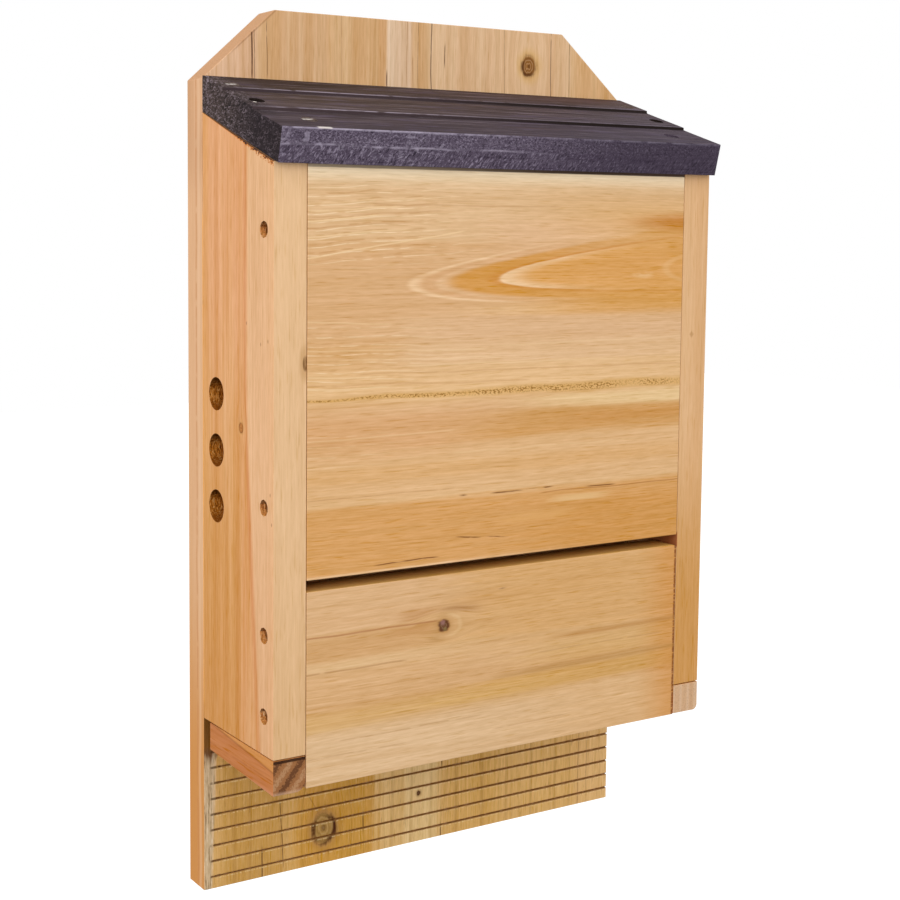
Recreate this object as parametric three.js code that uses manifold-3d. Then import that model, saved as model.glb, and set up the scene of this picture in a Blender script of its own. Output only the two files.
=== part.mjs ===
import * as THREE from "three";
import { mergeVertices } from "three/addons/utils/BufferGeometryUtils.js";
import Module from "manifold-3d";

// A wooden bat box that hangs on a wall.
// Lengths are millimetres. +X is to the right seen from the front, +Y goes back to the wall, +Z is up.
// The origin is the middle of the backboard's rear face.

// Backboard
const boardWidth = 290;
const boardHeight = 491;
const boardThickness = 19;
const cornerCutLeftWidth = 44;
const cornerCutRightWidth = 46.5;
const cornerCutHeight = 39.5;

// Box in front of the backboard
const landingHeight = 99.5;
const sideDepth = 83;
const panelThickness = 19;
const jointGap = 0.3;

// Front panels, with a vent slot between them
const lowerPanelDrop = 18;
const lowerPanelHeight = 103.5;
const slotHeight = 6;
const upperPanelTopGap = 0.9;

// Roof board, sawn with two small steps across its top
const roofSlope = THREE.MathUtils.degToRad(19);
const roofFrontLean = THREE.MathUtils.degToRad(14);
const roofDrop = 57.2;
const roofThickness = 18.3;
const roofOverhang = 4.5;
const roofStepHeight = 1.5;
const roofStepShares = [0.285, 0.65];

// Bottom rails, which close the grooves of the partition
const railHeights = { left: 18.4, right: 17.2 };
const railEdgeRadii = { left: 6, right: 3.5 };
const railTaper = 3.2;
const railTopGap = 0.5;
const railRearGap = 8;

// Partition between the two roost chambers
const rearChamberDepth = 27;
const partitionThickness = 12;
const grooveDepth = 6;
const passageHeight = 25;

// Saw kerfs, the bats' foothold
const kerfPitch = 9;
const kerfHeight = 0.9;
const kerfDepth = 1.5;
const kerfFirstRise = 7;
const kerfTopMargin = 8;
const kerfMarginLow = 4;
const kerfMarginHigh = 10.5;

// Round vents in the side panels
const ventCount = 3;
const ventDiameter = 18;
const ventPitch = 30.5;
const ventSetback = 17;
const ventMiddleRise = 152.5;

// Screws, all of one size
const screwLength = 42;
const screwShankDiameter = 4;
const screwHeadDiameter = 7.6;
const screwHeadDepth = 2.8;
const screwRimHeight = 0.6;
const screwTipLength = 6;
const counterboreDiameter = 8.8;
const counterboreDepth = 3.5;
const screwGap = 0.3;
const driveLength = 3.8;
const driveWidth = 1;
const driveDepth = 1.6;

// Places of the screws
const sideScrewSetback = 10.5;
const upperScrewDrop = 33.5;
const upperScrewRise = 38;
const lowerScrewDrop = 22.5;
const lowerScrewRise = 38.5;
const roofScrewRearSetback = 18;
const roofScrewMiddleSetback = 46;
const roofScrewFrontSetback = 7;
const roofScrewFrontInset = 24;
const roofScrewSink = 1.5;
const backScrewLowRise = 35;
const backScrewVentRise = 26;
const backScrewHighDrop = 49;
const railScrewInset = 22;

// How far a cutting tool runs past the wood, and how finely round things are cut
const overrun = 5;
const screwSides = 10;
const ventSides = 32;
const edgeSides = 4;

// Faces that several pieces share
const boardTop = boardHeight / 2;
const boardBottom = -boardHeight / 2;
const boardFront = -boardThickness;
const outerX = boardWidth / 2;
const innerX = outerX - panelThickness;
const screwLineX = outerX - panelThickness / 2;
const boxRear = boardFront - jointGap;
const boxFront = boardFront - sideDepth;
const sideBottom = boardBottom + landingHeight;
const lowerPanelBottom = sideBottom - lowerPanelDrop;
const lowerPanelTop = lowerPanelBottom + lowerPanelHeight;
const upperPanelBottom = lowerPanelTop + slotHeight;
const frontPanelRear = boxFront + panelThickness;
const railTop = sideBottom - railTopGap;
const railRear = boardFront - railRearGap;
const partitionRear = boardFront - rearChamberDepth;
const partitionFront = partitionRear - partitionThickness;

const wasm = await Module();
wasm.setup();

const materials = {
  backboard: woodMaterial(0xd6b27a),
  panel: woodMaterial(0xdcae74),
  rail: woodMaterial(0xb98b60),
  roof: woodMaterial(0x4b4149),
  screw: new THREE.MeshStandardMaterial({ color: 0x6f5038, roughness: 0.5, metalness: 0.8 }),
};

function woodMaterial(color) {
  return new THREE.MeshStandardMaterial({ color, roughness: 0.8, metalness: 0 });
}

// Height of the roof's underside at a depth
function roofUndersideAt(y) {
  return boardTop - roofDrop - Math.tan(roofSlope) * (boardFront - y);
}

// Closed geometry turned into a solid that can be cut
function solidFrom(geometry) {
  const bare = geometry.clone();
  bare.deleteAttribute("normal");
  bare.deleteAttribute("uv");
  const merged = mergeVertices(bare);
  return new wasm.Manifold(
    new wasm.Mesh({
      numProp: 3,
      vertProperties: merged.attributes.position.array,
      triVerts: new Uint32Array(merged.index.array),
    }),
  );
}

// Solid turned back into a flat-shaded geometry
function geometryFrom(solid) {
  const mesh = solid.getMesh();
  const indexed = new THREE.BufferGeometry();
  indexed.setAttribute("position", new THREE.BufferAttribute(mesh.vertProperties, mesh.numProp));
  indexed.setIndex(new THREE.BufferAttribute(mesh.triVerts, 1));
  const flat = indexed.toNonIndexed();
  flat.computeVertexNormals();
  return flat;
}

function shapeFrom(points) {
  return new THREE.Shape(points.map(([u, v]) => new THREE.Vector2(u, v)));
}

// Outline drawn in Y and Z, pushed out along X
function extrudeAlongX(shape, startX, endX) {
  const turn = new THREE.Matrix4().makeBasis(
    new THREE.Vector3(0, 1, 0),
    new THREE.Vector3(0, 0, 1),
    new THREE.Vector3(1, 0, 0),
  );
  return new THREE.ExtrudeGeometry(shape, { depth: endX - startX, bevelEnabled: false })
    .applyMatrix4(turn)
    .translate(startX, 0, 0);
}

// Outline drawn in X and Z, pushed out forwards along -Y
function extrudeForwards(shape, rearY, frontY) {
  const turn = new THREE.Matrix4().makeBasis(
    new THREE.Vector3(1, 0, 0),
    new THREE.Vector3(0, 0, 1),
    new THREE.Vector3(0, -1, 0),
  );
  const options = { depth: rearY - frontY, bevelEnabled: false, curveSegments: edgeSides };
  return new THREE.ExtrudeGeometry(shape, options).applyMatrix4(turn).translate(0, rearY, 0);
}

function block([startX, startY, startZ], [endX, endY, endZ]) {
  return new THREE.BoxGeometry(endX - startX, endY - startY, endZ - startZ).translate(
    (startX + endX) / 2,
    (startY + endY) / 2,
    (startZ + endZ) / 2,
  );
}

// The wood, kept as solids by name until every cut is made
const wood = new Map();

function addWood(name, geometry, material) {
  wood.set(name, { solid: solidFrom(geometry), material });
}

function cut(name, geometry) {
  const piece = wood.get(name);
  piece.solid = piece.solid.subtract(solidFrom(geometry));
}

// Rows of kerfs across a face, from one height up to another
function cutKerfs(name, faceY, inwards, firstZ, lastZ, marginAt) {
  for (let z = firstZ; z <= lastZ; z += kerfPitch) {
    const start = [-outerX + marginAt(z), faceY - inwards * overrun, z - kerfHeight / 2];
    const end = [outerX + overrun, faceY + inwards * kerfDepth, z + kerfHeight / 2];
    const low = [start[0], Math.min(start[1], end[1]), start[2]];
    const high = [end[0], Math.max(start[1], end[1]), end[2]];
    cut(name, block(low, high));
  }
}

// Backboard with both top corners cut off
function makeBackboard() {
  const outline = shapeFrom([
    [-outerX, boardBottom],
    [outerX, boardBottom],
    [outerX, boardTop - cornerCutHeight],
    [outerX - cornerCutRightWidth, boardTop],
    [-outerX + cornerCutLeftWidth, boardTop],
    [-outerX, boardTop - cornerCutHeight],
  ]);
  addWood("backboard", extrudeForwards(outline, 0, boardFront), materials.backboard);

  // The kerfs stop short of the left edge, further in towards the box, and run out on the right
  const marginAt = (z) => {
    const climb = Math.min(1, (z - boardBottom) / landingHeight);
    return THREE.MathUtils.lerp(kerfMarginLow, kerfMarginHigh, climb);
  };
  const lastZ = roofUndersideAt(boardFront) - kerfTopMargin;
  cutKerfs("backboard", boardFront, 1, boardBottom + kerfFirstRise, lastZ, marginAt);
}

// Side panel with its sloped top, vents and the groove that holds the partition
function makeSidePanel(side, sign) {
  const name = "side_panel_" + side;
  const outline = shapeFrom([
    [boxRear, sideBottom],
    [boxFront, sideBottom],
    [boxFront, roofUndersideAt(boxFront) - jointGap],
    [boxRear, roofUndersideAt(boxRear) - jointGap],
  ]);
  const startX = sign < 0 ? -outerX : innerX;
  addWood(name, extrudeAlongX(outline, startX, startX + panelThickness), materials.panel);

  for (let i = 0; i < ventCount; i++) {
    const fromMiddle = i - (ventCount - 1) / 2;
    const length = panelThickness + 2 * overrun;
    const vent = new THREE.CylinderGeometry(ventDiameter / 2, ventDiameter / 2, length, ventSides)
      .rotateZ(Math.PI / 2)
      .translate(
        sign * screwLineX,
        boardFront - ventSetback,
        sideBottom + ventMiddleRise + fromMiddle * ventPitch,
      );
    cut(name, vent);
  }

  const grooveEnds = [sign * (innerX + grooveDepth + jointGap), sign * (innerX - overrun)];
  const groove = block(
    [Math.min(...grooveEnds), partitionFront - jointGap, sideBottom - overrun],
    [Math.max(...grooveEnds), partitionRear + jointGap, partitionTop() + jointGap],
  );
  cut(name, groove);
}

// The partition stops below the roof, so that bats can cross over it
function partitionTop() {
  return roofUndersideAt(partitionFront) - passageHeight;
}

function makePartition() {
  const reach = innerX + grooveDepth;
  addWood(
    "partition_board",
    block([-reach, partitionFront, sideBottom], [reach, partitionRear, partitionTop()]),
    materials.panel,
  );
  const firstZ = sideBottom + kerfFirstRise;
  const lastZ = partitionTop() - kerfTopMargin;
  const fullWidth = () => -overrun;
  cutKerfs("partition_board", partitionRear, -1, firstZ, lastZ, fullWidth);
  cutKerfs("partition_board", partitionFront, 1, firstZ, lastZ, fullWidth);
}

// Two front panels, set in between the side panels
function makeFrontPanels() {
  const reach = innerX - jointGap;
  addWood(
    "front_panel_lower",
    block([-reach, boxFront, lowerPanelBottom], [reach, frontPanelRear, lowerPanelTop]),
    materials.panel,
  );
  const upperOutline = shapeFrom([
    [frontPanelRear, upperPanelBottom],
    [boxFront, upperPanelBottom],
    [boxFront, roofUndersideAt(boxFront) - upperPanelTopGap],
    [frontPanelRear, roofUndersideAt(frontPanelRear) - upperPanelTopGap],
  ]);
  addWood("front_panel_upper", extrudeAlongX(upperOutline, -reach, reach), materials.panel);
}

// Height of a rail's underside, which climbs towards the back
function railUndersideAt(side, y) {
  return railTop - railHeights[side] + (railTaper * (y - boxFront)) / (railRear - boxFront);
}

// Rail under a side panel, its lower right edge rounded and its underside planed to a taper
function makeRail(side, sign) {
  const name = "bottom_rail_" + side;
  const startX = sign < 0 ? -outerX : innerX;
  const endX = startX + panelThickness;
  const railBottom = railTop - railHeights[side];
  const radius = railEdgeRadii[side];
  const outline = new THREE.Shape();
  outline.moveTo(startX, railTop);
  outline.lineTo(startX, railBottom);
  outline.lineTo(endX - radius, railBottom);
  outline.absarc(endX - radius, railBottom + radius, radius, -Math.PI / 2, 0);
  outline.lineTo(endX, railTop);
  addWood(name, extrudeForwards(outline, railRear, boxFront), materials.rail);

  const waste = shapeFrom([
    [boxFront, railBottom],
    [boxFront, railBottom - overrun],
    [railRear + overrun, railBottom - overrun],
    [railRear + overrun, railUndersideAt(side, railRear + overrun)],
  ]);
  cut(name, extrudeAlongX(waste, startX - overrun, endX + overrun));
}

// Roof section: its rear end cut upright, its front end leaning forwards
const roofUprightThickness = roofThickness / Math.cos(roofSlope);
const roofFrontBottomY = boxFront - roofOverhang;
const roofFrontRise = roofUprightThickness / (1 + Math.tan(roofSlope) * Math.tan(roofFrontLean));
const roofFrontTopY = roofFrontBottomY - roofFrontRise * Math.tan(roofFrontLean);
const roofRearTop = roofUndersideAt(boxRear) + roofUprightThickness;
const roofFrontTop = roofUndersideAt(roofFrontTopY) + roofUprightThickness;
const roofFlatsDrop = roofRearTop - roofFrontTop - roofStepShares.length * roofStepHeight;

// Height of the roof's top at a share of the way forwards, after a number of steps
function roofTopAt(share, steps) {
  return roofRearTop - roofFlatsDrop * share - roofStepHeight * steps;
}

function makeRoof() {
  const points = [[boxRear, roofRearTop]];
  roofStepShares.forEach((share, i) => {
    const y = THREE.MathUtils.lerp(boxRear, roofFrontTopY, share);
    points.push([y, roofTopAt(share, i)], [y, roofTopAt(share, i + 1)]);
  });
  points.push(
    [roofFrontTopY, roofFrontTop],
    [roofFrontBottomY, roofUndersideAt(roofFrontBottomY)],
    [boxRear, roofUndersideAt(boxRear)],
  );
  addWood("roof_board", extrudeAlongX(shapeFrom(points), -outerX, outerX), materials.roof);
}

// Point on the roof's top at a place seen from above
function pointOnRoof(x, y) {
  const share = (boxRear - y) / (boxRear - roofFrontTopY);
  const steps = roofStepShares.filter((stepShare) => stepShare < share).length;
  return new THREE.Vector3(x, y, roofTopAt(share, steps));
}

// A screw points down its own -Y axis, from a mouth at its origin
const screwTop = -counterboreDepth;
const screwTip = screwTop - screwLength;

function latheFrom(points) {
  return new THREE.LatheGeometry(points.map(([r, y]) => new THREE.Vector2(r, y)), screwSides);
}

function screwGeometry() {
  const shankRadius = screwShankDiameter / 2;
  const headRadius = screwHeadDiameter / 2;
  const body = latheFrom([
    [0, screwTip],
    [shankRadius, screwTip + screwTipLength],
    [shankRadius, screwTop - screwHeadDepth],
    [headRadius, screwTop - screwRimHeight],
    [headRadius, screwTop],
    [0, screwTop],
  ]);
  const slots = [
    [driveLength, driveWidth],
    [driveWidth, driveLength],
  ];
  const solid = slots.reduce((rest, [width, depth]) => {
    const start = [-width / 2, screwTop - driveDepth, -depth / 2];
    const end = [width / 2, screwTop + overrun, depth / 2];
    return rest.subtract(solidFrom(block(start, end)));
  }, solidFrom(body));
  return geometryFrom(solid);
}

// What a screw takes out of the wood: its pilot hole, countersink and counterbore
function screwHole() {
  const boreRadius = screwShankDiameter / 2 + screwGap;
  const counterboreRadius = counterboreDiameter / 2;
  return latheFrom([
    [0, screwTip - screwGap],
    [boreRadius, screwTip + screwTipLength],
    [boreRadius, screwTop - screwHeadDepth - screwGap],
    [counterboreRadius, screwTop - screwRimHeight - screwGap],
    [counterboreRadius, overrun],
    [0, overrun],
  ]);
}

const screwShape = screwGeometry();
const holeShape = screwHole();
const screws = new THREE.Group();

// Drives one screw at a point of the surface, through the pieces that it joins
function drive(name, point, direction, joined) {
  const screw = new THREE.Mesh(screwShape, materials.screw);
  screw.name = name;
  screw.position.copy(point);
  screw.quaternion.setFromUnitVectors(new THREE.Vector3(0, -1, 0), direction);
  screw.updateMatrix();
  screws.add(screw);
  joined.forEach((piece) => cut(piece, holeShape.clone().applyMatrix4(screw.matrix)));
}

// Two screws through each side panel into each front panel, numbered from the top
function driveSideScrews(side, sign) {
  const upperTop = roofUndersideAt(boxFront) - upperPanelTopGap;
  const places = [
    [upperTop - upperScrewDrop, "front_panel_upper"],
    [upperPanelBottom + upperScrewRise, "front_panel_upper"],
    [lowerPanelTop - lowerScrewDrop, "front_panel_lower"],
    [lowerPanelBottom + lowerScrewRise, "front_panel_lower"],
  ];
  places.forEach(([z, panel], i) => {
    const point = new THREE.Vector3(sign * outerX, boxFront + sideScrewSetback, z);
    const inwards = new THREE.Vector3(-sign, 0, 0);
    drive(`side_screw_${side}_${i + 1}`, point, inwards, ["side_panel_" + side, panel]);
  });
}

// Roof screws, driven plumb and nearly flush: two into each side panel, one at each end of the front panel
function driveRoofScrews(side, sign) {
  const down = new THREE.Vector3(0, 0, -1);
  const panel = "side_panel_" + side;
  const rear = pointOnRoof(sign * screwLineX, boardFront - roofScrewRearSetback);
  const middle = pointOnRoof(sign * screwLineX, boardFront - roofScrewMiddleSetback);
  const front = pointOnRoof(sign * (outerX - roofScrewFrontInset), boxFront + roofScrewFrontSetback);
  [rear, middle, front].forEach((mouth) => mouth.addScaledVector(down, roofScrewSink - counterboreDepth));
  drive(`roof_screw_${side}_rear`, rear, down, ["roof_board", panel]);
  drive(`roof_screw_${side}_middle`, middle, down, ["roof_board", panel]);
  drive(`roof_screw_${side}_front`, front, down, ["roof_board", "front_panel_upper"]);
}

// Screws from the wall side, through the backboard into the side panels' rear edges
function driveBackScrews(side, sign) {
  const ventTop = sideBottom + ventMiddleRise + ((ventCount - 1) / 2) * ventPitch + ventDiameter / 2;
  const heights = {
    low: sideBottom + backScrewLowRise,
    middle: ventTop + backScrewVentRise,
    high: roofUndersideAt(boxRear) - backScrewHighDrop,
  };
  const forwards = new THREE.Vector3(0, -1, 0);
  for (const [place, z] of Object.entries(heights)) {
    const point = new THREE.Vector3(sign * screwLineX, 0, z);
    drive(`back_screw_${side}_${place}`, point, forwards, ["backboard", "side_panel_" + side]);
  }
}

// Screws from below, through each rail into its side panel
function driveRailScrews(side, sign) {
  const depths = { rear: railRear - railScrewInset, front: boxFront + railScrewInset };
  const up = new THREE.Vector3(0, 0, 1);
  for (const [place, y] of Object.entries(depths)) {
    const point = new THREE.Vector3(sign * screwLineX, y, railUndersideAt(side, y));
    drive(`rail_screw_${side}_${place}`, point, up, ["bottom_rail_" + side, "side_panel_" + side]);
  }
}

const sides = { left: -1, right: 1 };

makeBackboard();
makePartition();
makeFrontPanels();
makeRoof();
for (const [side, sign] of Object.entries(sides)) {
  makeSidePanel(side, sign);
  makeRail(side, sign);
  driveSideScrews(side, sign);
  driveRoofScrews(side, sign);
  driveBackScrews(side, sign);
  driveRailScrews(side, sign);
}

const batBox = new THREE.Group();
for (const [name, { solid, material }] of wood) {
  const mesh = new THREE.Mesh(geometryFrom(solid), material);
  mesh.name = name;
  batBox.add(mesh);
}
batBox.add(screws);

export default batBox;
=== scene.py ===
import math

import bmesh
import bpy
from mathutils import Matrix, Vector


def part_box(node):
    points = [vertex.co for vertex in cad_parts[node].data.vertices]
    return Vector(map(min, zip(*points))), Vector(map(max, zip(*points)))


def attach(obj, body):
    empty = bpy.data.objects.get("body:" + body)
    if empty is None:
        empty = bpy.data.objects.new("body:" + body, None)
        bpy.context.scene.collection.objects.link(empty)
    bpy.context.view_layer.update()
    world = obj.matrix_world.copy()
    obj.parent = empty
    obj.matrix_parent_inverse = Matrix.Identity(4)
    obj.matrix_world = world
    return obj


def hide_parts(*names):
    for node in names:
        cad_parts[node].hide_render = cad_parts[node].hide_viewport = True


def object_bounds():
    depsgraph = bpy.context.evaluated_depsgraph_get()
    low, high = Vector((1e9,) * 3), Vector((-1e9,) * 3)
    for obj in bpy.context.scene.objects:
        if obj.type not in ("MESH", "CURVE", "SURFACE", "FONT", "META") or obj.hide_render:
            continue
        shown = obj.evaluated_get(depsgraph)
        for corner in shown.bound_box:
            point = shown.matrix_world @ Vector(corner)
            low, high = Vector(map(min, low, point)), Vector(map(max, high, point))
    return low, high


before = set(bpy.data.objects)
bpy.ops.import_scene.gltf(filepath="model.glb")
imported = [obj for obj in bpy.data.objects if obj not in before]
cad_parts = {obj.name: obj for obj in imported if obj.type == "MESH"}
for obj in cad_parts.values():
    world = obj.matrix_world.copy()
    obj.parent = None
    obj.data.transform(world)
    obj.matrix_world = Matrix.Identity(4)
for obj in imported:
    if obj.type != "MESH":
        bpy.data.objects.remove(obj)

cad_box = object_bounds()
mm = 0.001

# The camera stands to the left of the box, level with its upper half, and looks slightly down.
# A long lens keeps the box's upright edges nearly parallel.
camera_place = Vector((-0.512009, -0.801547, 0.127054))
camera_yaw = math.radians(31.237)
camera_pitch = math.radians(-4.917)
camera_roll = math.radians(0.36)
camera_sensor = 36
camera_lens = 63.2
camera_shift = (0.0875, -0.0972)


def stand(name, data):
    """A new object in the scene."""
    thing = bpy.data.objects.new(name, data)
    bpy.context.collection.objects.link(thing)
    return thing


camera = stand("camera", bpy.data.cameras.new("camera"))
camera.data.sensor_width = camera_sensor
camera.data.lens = camera_lens
camera.data.shift_x, camera.data.shift_y = camera_shift
camera.data.clip_start = 0.05
turn = Matrix.Rotation(-camera_yaw, 4, "Z")
turn = turn @ Matrix.Rotation(math.radians(90) + camera_pitch, 4, "X")
turn = turn @ Matrix.Rotation(camera_roll, 4, "Z")
camera.matrix_world = Matrix.Translation(camera_place) @ turn
bpy.context.scene.camera = camera
bpy.context.scene.view_settings.view_transform = "Standard"

# Soft studio light: an even pale surround, and large softboxes to the left, to the right and above.
# The surround is pure white where the camera, a gloss or a clear surface sees it.
surround_strength = 0.84
softboxes = {
    "softbox_left": {"place": (-1.3, -1.0, 0.45), "size": 1.1, "power": 10.1},
    "softbox_right": {"place": (1.0, -1.3, 0.35), "size": 1.2, "power": 3.0},
    "softbox_above": {"place": (-0.1, -0.6, 1.6), "size": 1.0, "power": 2.6},
}


def plainly_seen(tree):
    """One where the camera, a gloss or a clear surface sees this thing, and nought elsewhere."""
    ray = tree.nodes.new("ShaderNodeLightPath")
    seen = ray.outputs["Is Camera Ray"]
    for kind in ("Is Glossy Ray", "Is Transmission Ray"):
        either = tree.nodes.new("ShaderNodeMath")
        either.operation = "MAXIMUM"
        tree.links.new(seen, either.inputs[0])
        tree.links.new(ray.outputs[kind], either.inputs[1])
        seen = either.outputs[0]
    return seen


world = bpy.data.worlds.new("surround")
bpy.context.scene.world = world
world.use_nodes = True
world_links = world.node_tree.links
background = world.node_tree.nodes["Background"]
background.inputs["Color"].default_value = (1, 1, 1, 1)
strength = world.node_tree.nodes.new("ShaderNodeMapRange")
strength.inputs["To Min"].default_value = surround_strength
strength.inputs["To Max"].default_value = 1
world_links.new(plainly_seen(world.node_tree), strength.inputs["Value"])
world_links.new(strength.outputs["Result"], background.inputs["Strength"])

for name, softbox in softboxes.items():
    light = stand(name, bpy.data.lights.new(name, "AREA"))
    light.data.size = softbox["size"]
    light.data.energy = softbox["power"]
    light.location = softbox["place"]
    light.rotation_euler = (-light.location).to_track_quat("-Z", "Y").to_euler()

# The floor is a plain pale sheet well below the box, which hangs by its backboard.
# It shows white to the camera, and still keeps the box's soft shadow.
floor_drop = 1.2
floor_reach = 12
floor_shade = 0.57
floor_glow = 0.7

floor_height = cad_box[0].z - floor_drop
floor_mesh = bpy.data.meshes.new("floor")
corners = [(-1, -1), (1, -1), (1, 1), (-1, 1)]
floor_points = [(x * floor_reach, y * floor_reach, floor_height) for x, y in corners]
floor_mesh.from_pydata(floor_points, [], [(0, 1, 2, 3)])
floor = stand("floor", floor_mesh)

floor_material = bpy.data.materials.new("pale_floor")
floor_material.use_nodes = True
floor_nodes = floor_material.node_tree.nodes
floor_links = floor_material.node_tree.links
matt = floor_nodes["Principled BSDF"]
matt.inputs["Base Color"].default_value = (floor_shade, floor_shade, floor_shade, 1)
matt.inputs["Roughness"].default_value = 1
matt.inputs["Specular IOR Level"].default_value = 0
matt.inputs["Emission Color"].default_value = (1, 1, 1, 1)
glow = floor_nodes.new("ShaderNodeMath")
glow.operation = "MULTIPLY"
glow.inputs[1].default_value = floor_glow
floor_links.new(plainly_seen(floor_material.node_tree), glow.inputs[0])
floor_links.new(glow.outputs[0], matt.inputs["Emission Strength"])
floor_mesh.materials.append(floor_material)

# The backboard is one planed softwood board with upright grain, which carries everything else.
# Its top corners are sawn off, and saw kerfs across its front give the bats a foothold.
# Two knots show, one above the roof and one on the landing, and fine drying cracks run down it.


def rgb(code):
    """Colour written as RRGGBB, in the linear values that shaders take."""
    values = [int(code[i : i + 2], 16) / 255 for i in (0, 2, 4)]
    linear = [v / 12.92 if v <= 0.04045 else ((v + 0.055) / 1.055) ** 2.4 for v in values]
    return (*linear, 1)


def feed(slot, value):
    """Gives a socket a plain value, or links it to a field or to another socket."""
    if isinstance(value, Field):
        value = value.socket
    if isinstance(value, bpy.types.NodeSocket):
        slot.id_data.links.new(value, slot)
    else:
        slot.default_value = value


class Field:
    """A number that varies over a surface. Sums of fields read as arithmetic and become nodes."""

    def __init__(self, socket):
        self.socket = socket

    def work(self, operation, *values):
        node = self.socket.id_data.nodes.new("ShaderNodeMath")
        node.operation = operation
        for slot, value in zip(node.inputs, values):
            feed(slot, value)
        return Field(node.outputs[0])

    def __add__(self, other):
        return self.work("ADD", self, other)

    def __sub__(self, other):
        return self.work("SUBTRACT", self, other)

    def __rsub__(self, other):
        return self.work("SUBTRACT", other, self)

    def __mul__(self, other):
        return self.work("MULTIPLY", self, other)

    def __truediv__(self, other):
        return self.work("DIVIDE", self, other)

    def __abs__(self):
        return self.work("ABSOLUTE", self)

    __radd__ = __add__
    __rmul__ = __mul__

    def squared(self):
        return self * self

    def root(self):
        return self.work("SQRT", self)

    def wave(self):
        return self.work("SINE", self)

    def whole(self):
        return self.work("FLOOR", self)

    def rest(self):
        return self.work("FRACT", self)

    def least(self, other):
        return self.work("MINIMUM", self, other)

    def most(self, other):
        return self.work("MAXIMUM", self, other)

    def rise(self, start, end):
        """Smooth step from nought at the start to one at the end."""
        node = self.socket.id_data.nodes.new("ShaderNodeMapRange")
        node.interpolation_type = "SMOOTHSTEP"
        feed(node.inputs["Value"], self)
        feed(node.inputs["From Min"], start)
        feed(node.inputs["From Max"], end)
        return Field(node.outputs["Result"])

    def within(self, start, end, edge):
        """One between the start and the end, fading over the edge's width at both."""
        middle = (start + end) / 2
        half = (end - start) / 2
        return abs(self - middle).rise(half + edge, half - edge)


relief_strength = 0.8


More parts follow.
